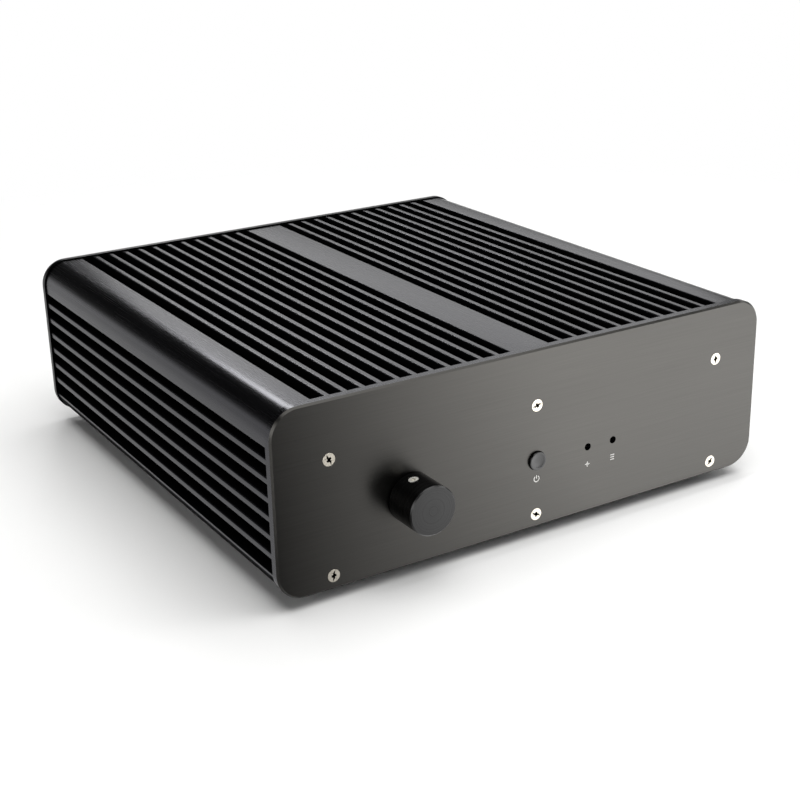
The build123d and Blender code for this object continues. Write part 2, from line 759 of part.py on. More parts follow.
with BuildPart() as control_board_studs:
    with BuildSketch(front_view(control_front)):
        with Locations((control_x, control_z)):
            with GridLocations(stud_pitch_x, stud_pitch_z, 2, 2):
                Circle(stud_r)
    extrude(amount=stud_h)
    with BuildSketch(front_view(front_in)):
        with Locations((control_x, control_z)):
            with GridLocations(stud_pitch_x, stud_pitch_z, 2, 2):
                Circle(stud_shank_r)
    extrude(amount=stud_sink)
    with Locations(rear_view(control_front)):
        with Locations((-control_x, control_z)):
            with GridLocations(stud_pitch_x, stud_pitch_z, 2, 2):
                Hole(small_tap_r, depth=small_screw_bite + tap_spare)
control_board_studs.part.label = "control_board_studs"
export_step(control_board_studs.part, "parts/control_board_studs.step")

with BuildPart() as control_board_screws:
    with Locations(rear_view(control_front + pcb_t)):
        with Locations((-control_x, control_z)):
            with GridLocations(stud_pitch_x, stud_pitch_z, 2, 2):
                add(pan_screw(small_screw_r, small_head_r, small_head_h, pcb_t + small_screw_bite))
control_board_screws.part.label = "control_board_screws"
export_step(control_board_screws.part, "parts/control_board_screws.step")

# Open-topped cable sockets on the backs of the two small boards
with BuildPart() as board_sockets:
    for x, z, rear in ((control_x, control_z, control_front + pcb_t), (knob_x, knob_z, encoder_rear + pcb_t)):
        with BuildSketch(front_view(rear)):
            with Locations((x, z)):
                Rectangle(header_w, header_h)
        extrude(amount=-header_d)
        with BuildSketch(front_view(rear + header_d)):
            with Locations((x, z)):
                Rectangle(header_w - 2 * header_wall, header_h - 2 * header_wall)
        extrude(amount=header_d - header_wall, mode=Mode.SUBTRACT)
board_sockets.part.label = "board_sockets"
export_step(board_sockets.part, "parts/board_sockets.step")

# Power inlet: a flanged barrel through the rear panel, held by a nut inside
with BuildPart() as power_inlet:
    with BuildSketch(rear_view(rear_face)):
        with Locations((-inlet_x, inlet_z)):
            Circle(inlet_flange_r)
    extrude(amount=inlet_flange_t)
    with BuildSketch(rear_view(rear_face)):
        with Locations((-inlet_x, inlet_z)):
            Circle(inlet_r)
    extrude(amount=-inlet_l)
    with BuildSketch(rear_view(rear_face + inlet_flange_t)):
        with Locations((-inlet_x, inlet_z)):
            Circle(inlet_bore_r)
    extrude(amount=-inlet_bore_depth, mode=Mode.SUBTRACT)
    with BuildSketch(rear_view(rear_face + inlet_flange_t - inlet_pin_back)):
        with Locations((-inlet_x, inlet_z)):
            Circle(inlet_pin_r)
    extrude(amount=inlet_pin_back - inlet_bore_depth)
    with BuildSketch(rear_view(rear_face - inlet_l)):
        with Locations((-inlet_x, inlet_z)):
            with GridLocations(0, inlet_r, 1, 2):
                Rectangle(inlet_tab_w, inlet_tab_t)
    extrude(amount=-inlet_tab_l)
power_inlet.part.label = "power_inlet"
export_step(power_inlet.part, "parts/power_inlet.step")

with BuildPart() as power_inlet_nut:
    with BuildSketch(front_view(rear_in)):
        with Locations((inlet_x, inlet_z)):
            RegularPolygon(inlet_flange_r, 6)
            Circle(inlet_r + thread_gap, mode=Mode.SUBTRACT)
    extrude(amount=inlet_nut_t)
power_inlet_nut.part.label = "power_inlet_nut"
export_step(power_inlet_nut.part, "parts/power_inlet_nut.step")

# Processor block: a cold plate and a cap, grooved to grip the heat pipes between them
with BuildPart() as cold_plate:
    with BuildSketch(front_view(cpu_y + cold_plate_l / 2)):
        with Locations((kit_x, pipe_z0)):
            Rectangle(plate_w, cold_plate_t - cold_pad_t, align=(Align.CENTER, Align.MAX))
        with Locations(*[(x, pipe_z0) for x in pipe_x]):
            Circle(pipe_r + pipe_gap, mode=Mode.SUBTRACT)
    extrude(amount=cold_plate_l)
    with BuildSketch(facing_up(kit_x, cpu_y, cpu_top)):
        Rectangle(cold_pad_w, cold_pad_w)
    extrude(amount=cold_pad_t)
    with Locations(facing_up(kit_x, cpu_y, pipe_z0)):
        with GridLocations(plate_screw_pitch, cold_plate_l - 2 * plate_screw_end, 2, 2):
            Hole(tap_r, depth=cold_plate_t - cold_pad_t - roof_skin)
cold_plate.part.label = "cold_plate"
export_step(cold_plate.part, "parts/cold_plate.step")

with BuildPart() as pipe_cap:
    with BuildSketch(front_view(cpu_y + cold_plate_l / 2)):
        with Locations((kit_x, pipe_z0)):
            Rectangle(plate_w, pipe_cap_t, align=(Align.CENTER, Align.MIN))
        with Locations(*[(x, pipe_z0) for x in pipe_x]):
            Circle(pipe_r + pipe_gap, mode=Mode.SUBTRACT)
    extrude(amount=cold_plate_l)
    with Locations(facing_up(kit_x, cpu_y, cap_top)):
        with GridLocations(plate_screw_pitch, cold_plate_l - 2 * plate_screw_end, 2, 2):
            Hole(free_r)
pipe_cap.part.label = "pipe_cap"
export_step(pipe_cap.part, "parts/pipe_cap.step")

# Bracket that clamps the block to the board through four holes round the processor
diagonals = (45, -45)
with BuildPart() as cpu_bracket:
    with BuildSketch(facing_up(kit_x, cpu_y, cap_top)):
        Rectangle(plate_w, cold_plate_l)
        for turn in diagonals:
            SlotCenterToCenter(cpu_hole_pitch * sqrt(2), bracket_arm_w, rotation=turn)
        with GridLocations(cpu_hole_pitch, cpu_hole_pitch, 2, 2):
            Circle(cpu_hole_r, mode=Mode.SUBTRACT)
        with GridLocations(plate_screw_pitch, cold_plate_l - 2 * plate_screw_end, 2, 2):
            Circle(free_r, mode=Mode.SUBTRACT)
    extrude(amount=bracket_t)
cpu_bracket.part.label = "cpu_bracket"
export_step(cpu_bracket.part, "parts/cpu_bracket.step")

with BuildPart() as cpu_block_screws:
    with Locations(facing_up(kit_x, cpu_y, cap_top + bracket_t)):
        with GridLocations(plate_screw_pitch, cold_plate_l - 2 * plate_screw_end, 2, 2):
            block_bite = cold_plate_t - cold_pad_t - roof_skin - tap_spare
            add(pan_screw(screw_r, pan_head_r, pan_head_h, bracket_t + pipe_cap_t + block_bite))
cpu_block_screws.part.label = "cpu_block_screws"
export_step(cpu_block_screws.part, "parts/cpu_block_screws.step")

# Heat pipes: from the processor block forwards, up in two bends and along under the roof
for n, x in enumerate(pipe_x, 1):
    pipe_start = cpu_y + cold_plate_l / 2 + pipe_tip
    pipe_end = spreader_rear - spreader_l - pipe_tip
    with BuildPart() as heat_pipe:
        with BuildLine(Plane.YZ.offset(x)):
            FilletPolyline(
                (pipe_start, pipe_z0), (rise_y, pipe_z0),
                (rise_y, pipe_z1), (pipe_end, pipe_z1), radius=bend_r)
        with BuildSketch(front_view(pipe_start)):
            with Locations((x, pipe_z0)):
                Circle(pipe_r)
        sweep()
        chamfer(heat_pipe.faces().sort_by(Axis.Y)[0].edges(), pipe_bevel)
        chamfer(heat_pipe.faces().sort_by(Axis.Y)[-1].edges(), pipe_bevel)
    heat_pipe.part.label = f"heat_pipe_{n}"
    export_step(heat_pipe.part, f"parts/heat_pipe_{n}.step")

# Spreader against the roof and the clamp under it, grooved for the pipes' upper ends
with BuildPart() as roof_spreader:
    with BuildSketch(front_view(spreader_rear)):
        with Locations((kit_x, roof_z)):
            Rectangle(plate_w, spreader_t, align=(Align.CENTER, Align.MAX))
        with Locations(*[(x, pipe_z1) for x in pipe_x]):
            Circle(pipe_r + pipe_gap, mode=Mode.SUBTRACT)
    extrude(amount=spreader_l)
    with Locations(facing_up(kit_x, spreader_y, roof_z)):
        with GridLocations(plate_screw_pitch, spreader_l - 2 * plate_screw_end, 2, 2):
            Hole(free_r)
roof_spreader.part.label = "roof_spreader"
export_step(roof_spreader.part, "parts/roof_spreader.step")

with BuildPart() as pipe_clamp:
    with BuildSketch(front_view(spreader_rear)):
        with Locations((kit_x, pipe_z1)):
            Rectangle(plate_w, clamp_t, align=(Align.CENTER, Align.MAX))
        with Locations(*[(x, pipe_z1) for x in pipe_x]):
            Circle(pipe_r + pipe_gap, mode=Mode.SUBTRACT)
    extrude(amount=spreader_l)
    with Locations(facing_down(kit_x, spreader_y, pipe_z1 - clamp_t)):
        with GridLocations(plate_screw_pitch, spreader_l - 2 * plate_screw_end, 2, 2):
            Hole(free_r)
pipe_clamp.part.label = "pipe_clamp"
export_step(pipe_clamp.part, "parts/pipe_clamp.step")

with BuildPart() as pipe_clamp_screws:
    with Locations(facing_down(kit_x, spreader_y, pipe_z1 - clamp_t)):
        with GridLocations(plate_screw_pitch, spreader_l - 2 * plate_screw_end, 2, 2):
            clamp_screw_l = clamp_t + spreader_t + wall - roof_skin - tap_spare
            add(pan_screw(screw_r, pan_head_r, pan_head_h, clamp_screw_l))
pipe_clamp_screws.part.label = "pipe_clamp_screws"
export_step(pipe_clamp_screws.part, "parts/pipe_clamp_screws.step")
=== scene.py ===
import json
from math import pi, radians

import bmesh
import bpy
from bpy.props import FloatProperty, FloatVectorProperty, PointerProperty
from mathutils import Euler, Matrix, Vector


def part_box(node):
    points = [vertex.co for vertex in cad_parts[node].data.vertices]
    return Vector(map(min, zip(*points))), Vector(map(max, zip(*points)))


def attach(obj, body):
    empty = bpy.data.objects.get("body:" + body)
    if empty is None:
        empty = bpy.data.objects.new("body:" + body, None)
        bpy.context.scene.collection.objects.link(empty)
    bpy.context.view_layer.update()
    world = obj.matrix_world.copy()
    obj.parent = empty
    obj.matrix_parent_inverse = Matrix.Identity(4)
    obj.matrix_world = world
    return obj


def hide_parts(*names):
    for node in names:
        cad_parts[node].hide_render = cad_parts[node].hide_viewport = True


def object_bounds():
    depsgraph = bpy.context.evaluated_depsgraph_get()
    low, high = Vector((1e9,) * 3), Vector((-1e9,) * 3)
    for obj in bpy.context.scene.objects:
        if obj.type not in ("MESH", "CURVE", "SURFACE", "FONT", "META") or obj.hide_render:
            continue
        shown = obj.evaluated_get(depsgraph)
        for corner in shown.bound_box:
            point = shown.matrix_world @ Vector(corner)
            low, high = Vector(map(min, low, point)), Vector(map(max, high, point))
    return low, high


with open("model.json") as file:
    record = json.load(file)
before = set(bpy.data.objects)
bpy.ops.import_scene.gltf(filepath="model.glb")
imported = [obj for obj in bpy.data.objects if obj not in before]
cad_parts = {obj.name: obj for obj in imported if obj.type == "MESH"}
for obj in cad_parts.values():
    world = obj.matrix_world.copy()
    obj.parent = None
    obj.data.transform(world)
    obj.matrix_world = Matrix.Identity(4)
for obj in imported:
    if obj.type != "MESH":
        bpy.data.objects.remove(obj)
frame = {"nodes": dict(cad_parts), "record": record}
cad_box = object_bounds()

bl_info = {
    "name": "Mini PC Case",
    "version": (1, 0, 0),
    "blender": (4, 5, 0),
    "location": "3D View > Sidebar > Mini PC",
    "description": "Finishes for a fanless computer case: anodised, plated, moulded and laminated",
    "category": "Object",
}

MM = 0.001
MERGE = 0.001 * MM              # points of a CAD mesh that lie closer than this are one
SMOOTH_BELOW = radians(32)      # edges flatter than this are shaded as one round surface
NOISE_ENDS = (0.3, 0.7)         # noise seldom leaves this range, so it is spread over a look's limits
NOISE_ROUGHNESS = 0.6           # how strong the fine detail is in all noise
PIPE_COUNT = 4                  # heat pipes

# Extrusion and front panel
OUTLINE_R = 11.3 * MM           # outer corners of the extrusion's section
# Inside the skin the extrusion is matt and near black: painted shade of the deep slots
SKIN_FADE = (-0.55 * MM, -0.2 * MM)     # from its outline: matt up to the first, brushed past the second
SLOT_ROUGHNESS = 0.9
CLOUD_SIZES = (60 * MM, 30 * MM, 18 * MM)       # where the panels' brushing is a little rougher
MILLED_NORMAL = 0.3             # faces of the panel that look less than this forward are its outline

# Countersunk screws of the two panels
HEAD_R, SHANK_R = 2.7 * MM, 1.5 * MM
HEAD_BEVEL = 0.12 * MM          # round the head's face
RECESS_FLOOR = 0.55             # size of the cross recess's floor, as a share of its mouth
SCREW_SEGMENTS = 48
SCREW_TURN = radians(37)        # from one screw to the next, as screws stop at any angle

# Printed signs: places and sizes as shares of the power sign's radius
POWER_GAP = radians(70)
POWER_BAR_UP, POWER_BAR_L = 0.55, 0.9
LAMP_R, RAY_OUT, RAY_L = 0.44, 0.66, 0.22
ROW_PITCH, ROW_W = 0.7, 1.35
RING_STEPS = 32

# Floor and surroundings
FLOOR_R, FLOOR_SEGMENTS = 6.0, 96
SHADOW_REACH = (0.3, 0.62)      # the floor turns plain white between these distances from the middle
HORIZON = (0.02, 0.14)          # the surroundings turn from white to dark between these heights
HORIZON_LIGHT, STUDIO_LIGHT = 1.0, 0.03

# Glowing cards that lie on the floor beside the front panel and the left side
CARD_Z = 0.0005
FRONT_CARD_X = (-0.2, 0.3)      # ends of the front card's near edge
FRONT_CARD_Y = -0.119
FRONT_CARD_RUN = (0.27, -0.54, 0)       # from its near edge to its far one
FRONT_CARD_FADE = (-0.13, 0.04)         # along that edge: dark up to the first, full past the second
FRONT_CARD_GLOW = 3.5           # beside the panel
FRONT_CARD_GROWTH, FRONT_CARD_GROWTH_RUN = 1.42, 0.2    # times brighter, that far from the panel
LEFT_CARD_X = -0.122
LEFT_CARD_Y = (-0.16, 0.7)
LEFT_CARD_RUN = (-0.6, 0, 0)
LEFT_CARD_GLOW = 0.75

# Soft lamps: name, place, aim, width, height and power in watts
LAMPS = (
    ("overhead softbox", (0.3, -0.3, 1.9), (0.3, -0.3, 0), 2.4, 2.4, 54),
    ("rear softbox", (0.745, 1.16, 0.66), (0, 0, 0.08), 0.92, 0.54, 2.2),
    ("rear strip", (0.24, 1.0, 0.76), (0, 0, 0.08), 0.26, 0.16, 1.8),
    ("right softbox", (1.05, -0.5, 0.5), (0, -0.1, 0.05), 0.6, 0.6, 4),
    ("left softbox", (-0.9, -0.55, 0.3), (0, -0.1, 0.05), 0.6, 0.5, 2.8),
)

SENSOR_W = 36                   # the camera's sensor, in millimetres


def linear(hex_colour):
    """sRGB hex value as linear red, green and blue."""
    channels = [int(hex_colour[n:n + 2], 16) / 255 for n in (0, 2, 4)]
    return tuple(c / 12.92 if c <= 0.04045 else ((c + 0.055) / 1.055) ** 2.4 for c in channels)


def colour_property(label, use, hex_colour):
    """A colour that the user can change, given as an sRGB hex value."""
    return FloatVectorProperty(
        name=label, description=use, subtype="COLOR", size=3, min=0, max=1,
        default=linear(hex_colour))


def length_property(label, use, millimetres):
    """A length that the user can change, given in millimetres."""
    return FloatProperty(
        name=label, description=use, unit="LENGTH", min=0, default=millimetres * MM)


class CaseColours(bpy.types.PropertyGroup):
    body: colour_property("Extrusion", "Brushed, black anodised faces of the extrusion", "37373b")
    # The slots' colour is painted shade: near black on the matt flanks and floors, where the deep slots
    # lie in shade
    slots: colour_property("Slots", "Matt flanks and floors between the fins", "020203")
    panel: colour_property("Front panel", "Brushed, black anodised front panel", "403f3d")
    rear: colour_property("Rear panel", "Brushed, deep black anodised rear panel", "1c1c1d")
    knob: colour_property("Knob", "Turned, black anodised knob", "3b3b3b")
    button: colour_property("Button", "Polished, black anodised button", "3a3a3a")
    base: colour_property("Base", "Powder-coated base plate", "232323")
    rubber: colour_property("Rubber", "Feet", "1b1b1b")
    nickel: colour_property("Nickel", "Bright nickel plate on the screws", "c2bcb0")
    grub: colour_property("Grub screw", "Satin plate on the knob's grub screw", "f2f0ea")
    dull_nickel: colour_property("Dull nickel", "Plate on the encoder's metal and the nuts", "b9b8b4")
    zinc: colour_property("Zinc", "Plate on the processor's bracket", "b4b6ba")
    tin: colour_property("Tin", "Leads of the indicators", "c4c6c8")
    brass: colour_property("Brass", "Turned standoffs", "d9b56a")
    copper: colour_property("Copper", "Heat pipes", "d58a68")
    aluminium: colour_property("Aluminium", "Bare milled plates of the cooler", "d2d3d6")
    nylon: colour_property("Encoder", "Moulded housing of the encoder", "1a1a1a")
    switch: colour_property("Switch", "Moulded switch behind the button", "161616")
    inlet: colour_property("Inlet", "Moulded power inlet", "191919")
    socket: colour_property("Sockets", "Moulded cable sockets on the two small boards", "d9d3bf")
    lens: colour_property("Lenses", "Smoked epoxy of the indicators", "26272a")
    ink: colour_property("Ink", "Printed signs on the front panel", "e2e1dd")
    mask: colour_property("Solder mask", "Solder mask on the two small boards", "12502c")
    mask_patch: colour_property("Darker mask", "Darker fields of the solder mask", "10462a")
    tracks: colour_property("Tracks", "Copper that shows through the solder mask", "2f7a4a")
    floor: colour_property("Floor", "Pale studio floor", "f3f3f2")


class CaseDetails(bpy.types.PropertyGroup):
    grain_w: length_property("Grain width", "Width of a brushing line", 0.35)
    grain_l: length_property("Grain length", "Length of a brushing line", 45)
    recess_span: length_property("Recess span", "Cross recess of the screws, tip to tip", 2.2)
    recess_w: length_property("Recess width", "Width of the cross recess's arms", 0.85)
    recess_depth: length_property("Recess depth", "Depth of the cross recess", 0.3)
    sign_r: length_property("Sign size", "Outer radius of the power sign", 1.5)
    sign_line: length_property("Sign line", "Width of a printed line", 0.42)
    sign_drop: length_property("Sign drop", "From the middle of the button to its sign", 8.2)
    ink_t: length_property("Ink thickness", "How far the signs stand out from the panel", 0.02)


class CaseView(bpy.types.PropertyGroup):
    place: FloatVectorProperty(
        name="Place", description="Where the camera stands", subtype="TRANSLATION", size=3,
        default=(-0.33633, -0.56175, 0.27855))
    turn: FloatVectorProperty(
        name="Turn", description="How the camera is turned", subtype="EULER", size=3,
        default=(radians(68.825), radians(1.312), radians(-31.793)))
    lens: FloatProperty(
        name="Lens", description="Focal length on a 36 mm sensor", unit="CAMERA", default=66.97)


class CaseSettings(bpy.types.PropertyGroup):
    colours: PointerProperty(type=CaseColours)
    details: PointerProperty(type=CaseDetails)
    view: PointerProperty(type=CaseView)


def settings():
    """The case's settings in this scene."""
    return bpy.context.scene.mini_pc_case


def middle(node):
    """Middle of a CAD node's box."""
    low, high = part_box(node)
    return (low + high) / 2


def rgba(colour):
    """Colour with full opacity."""
    return (*colour, 1)


def add_node(tree, kind, inputs=None, **options):
    """Adds a node, sets its options and gives its inputs values or links."""
    made = tree.nodes.new(kind)
    for name, value in options.items():
        setattr(made, name, value)
    for key, value in (inputs or {}).items():
        if isinstance(value, bpy.types.NodeSocket):
            tree.links.new(value, made.inputs[key])
        else:
            made.inputs[key].default_value = value
    return made


def limits(from_low, from_high, to_low=0.0, to_high=1.0):
    """Inputs that move a value from one range to another."""
    return {"From Min": from_low, "From Max": from_high, "To Min": to_low, "To Max": to_high}


def new_material(name, **values):
    """A material with its shader's even values set. Returns it with its tree and shader."""
    material = bpy.data.materials.new(name)
    material.use_nodes = True
    tree = material.node_tree
    shader = tree.nodes["Principled BSDF"]
    for socket, value in values.items():
        shader.inputs[socket.replace("_", " ")].default_value = value
    return material, tree, shader


def connect(tree, shader, looks):
    """Links each look to the shader's input of that name."""
    for socket, output in looks.items():
        tree.links.new(output, shader.inputs[socket])


def stretched_noise(tree, sizes, detail=2.0):
    """Noise whose spots measure sizes along X, Y and Z, in metres, on Object coordinates."""
    place = add_node(tree, "ShaderNodeTexCoord").outputs["Object"]
    scaled = add_node(tree, "ShaderNodeMapping", {
        "Vector": place, "Scale": tuple(1 / size for size in sizes)})
    return add_node(tree, "ShaderNodeTexNoise", {
        "Vector": scaled.outputs[0], "Scale": 1.0, "Detail": detail,
        "Roughness": NOISE_ROUGHNESS}).outputs[0]


def patterned(tree, pattern, colour=None, tint=None, roughness=None, depth=None):
    """Colour, roughness and relief of a surface that follows a noise pattern.

    Tint is how dark and how light the colour gets, and roughness holds its two limits as well. Depth is
    the real depth of the relief, in metres. What isn't given is left out.
    """
    looks = {}
    if tint:
        amount = add_node(tree, "ShaderNodeMapRange", {
            "Value": pattern, **limits(*NOISE_ENDS, *tint)}).outputs[0]
        grey = add_node(tree, "ShaderNodeCombineColor", {
            "Red": amount, "Green": amount, "Blue": amount}).outputs[0]
        looks["Base Color"] = add_node(tree, "ShaderNodeMix", {
            "Factor": 1.0, "A": rgba(colour), "B": grey},
            data_type="RGBA", blend_type="MULTIPLY").outputs["Result"]
    if roughness:
        looks["Roughness"] = add_node(tree, "ShaderNodeMapRange", {
            "Value": pattern, **limits(*NOISE_ENDS, *roughness)}).outputs[0]
    if depth:
        looks["Normal"] = add_node(tree, "ShaderNodeBump", {
            "Height": pattern, "Distance": depth, "Strength": 1.0}).outputs[0]
    return looks


def skin_mask(tree):
    """1 on the extrusion's outer skin and 0 further in, by the distance from its rounded outline. Where
    it is 0, the fins' flanks and the slots' floors get painted shade.
    """
    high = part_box("body_extrusion")[1]
    place = add_node(tree, "ShaderNodeTexCoord").outputs["Object"]
    axes = add_node(tree, "ShaderNodeSeparateXYZ", {0: place}).outputs
    sideways = add_node(tree, "ShaderNodeMath", {0: axes[0]}, operation="ABSOLUTE").outputs[0]
    past = [
        add_node(tree, "ShaderNodeMath", {0: way, 1: edge - OUTLINE_R}, operation="SUBTRACT").outputs[0]
        for way, edge in ((sideways, high.x), (axes[2], high.z))]
    corner = add_node(tree, "ShaderNodeCombineXYZ", {0: past[0], 1: past[1]}).outputs[0]
    outer = add_node(
        tree, "ShaderNodeVectorMath", {0: corner, 1: (0, 0, 0)}, operation="MAXIMUM").outputs[0]
    round_part = add_node(
        tree, "ShaderNodeVectorMath", {0: outer}, operation="LENGTH").outputs["Value"]
    larger = add_node(
        tree, "ShaderNodeMath", {0: past[0], 1: past[1]}, operation="MAXIMUM").outputs[0]
    flat_part = add_node(tree, "ShaderNodeMath", {0: larger, 1: 0.0}, operation="MINIMUM").outputs[0]
    reach = add_node(
        tree, "ShaderNodeMath", {0: round_part, 1: flat_part}, operation="ADD").outputs[0]
    start, end = (OUTLINE_R + fade for fade in SKIN_FADE)
    return add_node(tree, "ShaderNodeMapRange", {"Value": reach, **limits(start, end)}).outputs[0]


def anodised_extrusion():
    """Aluminium extrusion, brushed lengthwise on its outer faces and black anodised.

    The brushed skin glints along the grain, while the fins' flanks and the slots' floors keep the matt
    finish of the bare extruded metal and get a near-black colour, which is painted shade of the deep
    slots. Real brushing lines are too fine to show at this size, so they are drawn wider.
    """
    colours, details = settings().colours, settings().details
    material, tree, shader = new_material(
        "black anodised extrusion", Anisotropic=0.2, IOR=1.5, Specular_IOR_Level=0.05)
    brushed = skin_mask(tree)
    grain = stretched_noise(tree, (details.grain_w, details.grain_l, details.grain_w), detail=3.0)
    looks = patterned(
        tree, grain, colours.body, tint=(0.8, 1.2), roughness=(0.22, 0.29), depth=0.004 * MM)
    # Off the skin, the base colour is the slots' near-black painted shade
    looks["Base Color"] = add_node(tree, "ShaderNodeMix", {
        "Factor": brushed, "A": rgba(colours.slots), "B": looks["Base Color"]},
        data_type="RGBA").outputs["Result"]
    looks["Roughness"] = add_node(tree, "ShaderNodeMix", {
        "Factor": brushed, "A": SLOT_ROUGHNESS, "B": looks["Roughness"]}).outputs[0]
    looks["Metallic"] = brushed
    looks["Tangent"] = add_node(
        tree, "ShaderNodeTangent", direction_type="RADIAL", axis="Y").outputs[0]
    connect(tree, shader, looks)
    return material


def brushed_plate(name, plate_colour):
    """Aluminium plate, brushed across its width and black anodised.

    The grain runs from side to side, so highlights smear up and down and the face shades evenly from
    one side to the other. Its lines are drawn wider than real ones, which are too fine to show.
    """
    details = settings().details
    material, tree, shader = new_material(name, Metallic=1.0, Anisotropic=0.56)
    grain = stretched_noise(tree, (details.grain_l, details.grain_w, details.grain_w), detail=3.0)
    looks = patterned(
        tree, grain, plate_colour, tint=(0.93, 1.07), roughness=(-0.01, 0.01), depth=0.01 * MM)
    cloud = stretched_noise(tree, CLOUD_SIZES, detail=1.0)
    uneven = patterned(tree, cloud, roughness=(0.305, 0.32))
    looks["Roughness"] = add_node(tree, "ShaderNodeMath", {
        0: looks["Roughness"], 1: uneven["Roughness"]}, operation="ADD").outputs[0]
    looks["Tangent"] = add_node(
        tree, "ShaderNodeTangent", direction_type="RADIAL", axis="X").outputs[0]
    connect(tree, shader, looks)
    return material


def milled_edge():
    """Anodised aluminium where the plate's outline was milled: satin, the same in every direction."""
    material, tree, shader = new_material("black anodised milled edge", Metallic=1.0)
    cutter = stretched_noise(tree, (0.5 * MM, 4 * MM, 0.5 * MM))
    connect(tree, shader, patterned(
        tree, cutter, settings().colours.body, tint=(0.92, 1.08), roughness=(0.22, 0.3)))
    return material


def turned_aluminium(name, colour, node, ring_w, roughness, depth):
    """Aluminium turned on a lathe and anodised: fine rings round the node's own axis.

    The rings are drawn wider than the marks of a real lathe tool, which are too fine to show.
    """
    centre = middle(node)
    material, tree, shader = new_material(name, Metallic=1.0)
    place = add_node(tree, "ShaderNodeTexCoord").outputs["Object"]
    from_axis = add_node(tree, "ShaderNodeVectorMath", {
        0: place, 1: (centre.x, 0, centre.z)}, operation="SUBTRACT").outputs[0]
    axes = add_node(tree, "ShaderNodeSeparateXYZ", {0: from_axis}).outputs
    level = add_node(tree, "ShaderNodeCombineXYZ", {0: axes[0], 1: axes[2]}).outputs[0]
    radius = add_node(tree, "ShaderNodeVectorMath", {0: level}, operation="LENGTH").outputs["Value"]
    ring_place = add_node(tree, "ShaderNodeCombineXYZ", {0: radius, 1: axes[1]}).outputs[0]
    rings = add_node(tree, "ShaderNodeTexNoise", {
        "Vector": ring_place, "Scale": 1 / ring_w, "Detail": 2.0,
        "Roughness": NOISE_ROUGHNESS}).outputs[0]
    connect(tree, shader, patterned(
        tree, rings, colour, tint=(0.85, 1.15), roughness=(roughness - 0.04, roughness + 0.05),
        depth=depth))
    return material


def plated_metal(name, colour, roughness):
    """Steel or brass under plate: clean reflections, with faint unevenness from the tumbler."""
    material, tree, shader = new_material(name, Metallic=1.0)
    ripple = stretched_noise(tree, (0.6 * MM,) * 3, detail=3.0)
    connect(tree, shader, patterned(
        tree, ripple, colour, tint=(0.93, 1.04), roughness=(roughness - 0.05, roughness + 0.08),
        depth=0.004 * MM))
    return material


def powder_coat():
    """Steel sheet under fine black powder coat, with the orange-peel skin of baked powder."""
    material, tree, shader = new_material("black powder coat", IOR=1.5)
    peel = stretched_noise(tree, (0.7 * MM,) * 3)
    connect(tree, shader, patterned(
        tree, peel, settings().colours.base, tint=(0.85, 1.15), roughness=(0.45, 0.6),
        depth=0.03 * MM))
    return material


def moulded_plastic(name, colour, roughness, grit=0.25 * MM):
    """Moulded plastic or rubber with the spark-eroded texture of its mould.

    The grit is drawn coarser than on a real mould, where it is too fine to show.
    """
    material, tree, shader = new_material(name, IOR=1.5)
    texture = stretched_noise(tree, (grit,) * 3)
    connect(tree, shader, patterned(
        tree, texture, colour, tint=(0.88, 1.12), roughness=(roughness - 0.05, roughness + 0.05),
        depth=0.012 * MM))
    return material


def milled_metal(name, colour, stroke, roughness=0.3):
    """Bare or thinly plated metal with the fine parallel marks of milling, turning or drawing."""
    material, tree, shader = new_material(name, Metallic=1.0)
    marks = stretched_noise(tree, stroke, detail=3.0)
    blush = stretched_noise(tree, (12 * MM,) * 3)
    connect(tree, shader, patterned(tree, blush, colour, tint=(0.9, 1.03)))
    connect(tree, shader, patterned(
        tree, marks, roughness=(roughness - 0.07, roughness + 0.1), depth=0.01 * MM))
    return material


def solder_mask():
    """Glass laminate under green solder mask, with lighter copper tracks that show through it."""
    colours = settings().colours
    material, tree, shader = new_material("green solder mask", IOR=1.5, Roughness=0.3)
    place = add_node(tree, "ShaderNodeTexCoord").outputs["Object"]
    upright = add_node(tree, "ShaderNodeMapping", {"Vector": place, "Rotation": (pi / 2, 0, 0)})
    tracks = add_node(tree, "ShaderNodeTexBrick", {
        "Vector": upright.outputs[0], "Scale": 1.0, "Brick Width": 4.2 * MM, "Row Height": 1.1 * MM,
        "Mortar Size": 0.22 * MM, "Mortar Smooth": 0.1, "Color1": rgba(colours.mask),
        "Color2": rgba(colours.mask_patch), "Mortar": rgba(colours.tracks)}).outputs
    relief = add_node(tree, "ShaderNodeBump", {
        "Height": tracks["Fac"], "Distance": 0.02 * MM, "Strength": 1.0}).outputs[0]
    connect(tree, shader, {"Base Color": tracks["Color"], "Normal": relief})
    return material


def epoxy_lens():
    """Indicator lens of smoked epoxy, unlit: dark and glossy, with the grey of the die behind it."""
    material, tree, shader = new_material("smoked epoxy lens", IOR=1.55, Roughness=0.08)
    cloud = stretched_noise(tree, (1.5 * MM,) * 3, detail=1.0)
    connect(tree, shader, patterned(tree, cloud, settings().colours.lens, tint=(0.7, 1.3)))
    return material


def printed_ink():
    """Screen-printed ink: flat pale grey, slightly uneven where the pigment lies thicker.

    The pigment is drawn coarser than real ink's, which is too fine to show.
    """
    material, tree, shader = new_material("pale printed ink", IOR=1.5, Roughness=0.55)
    pigment = stretched_noise(tree, (0.3 * MM,) * 3)
    connect(tree, shader, patterned(tree, pigment, settings().colours.ink, tint=(0.85, 1.05)))
    return material


